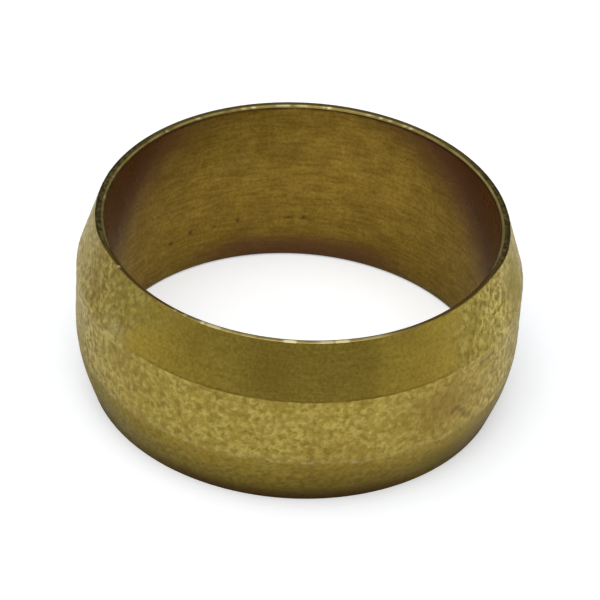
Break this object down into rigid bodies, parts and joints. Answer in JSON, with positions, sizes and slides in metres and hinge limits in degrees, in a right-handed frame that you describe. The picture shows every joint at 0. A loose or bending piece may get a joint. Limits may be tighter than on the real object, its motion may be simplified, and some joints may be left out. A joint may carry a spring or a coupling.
{
  "type": "compression olive",
  "caption": "Barrel-shaped brass ring with a plain bore, a straight middle land and tapered flanks; it slides onto a pipe and is squeezed into a compression fitting to seal the joint.",
  "frame": {"origin": "middle of the ring's lower end, on the axis of the bore", "axes": "+Z along the axis of the bore, from the lower end to the upper end; X and Y are equal because the ring is round"},
  "size_m": [0.025, 0.025, 0.0106],
  "materials": {
    "turned_brass": "turned on the flanks and in the bore, grainy as-drawn skin on the land, slightly tarnished"
  },
  "bodies": {
    "root": {"olive": "turned_brass"}
  },
  "joints": []
}
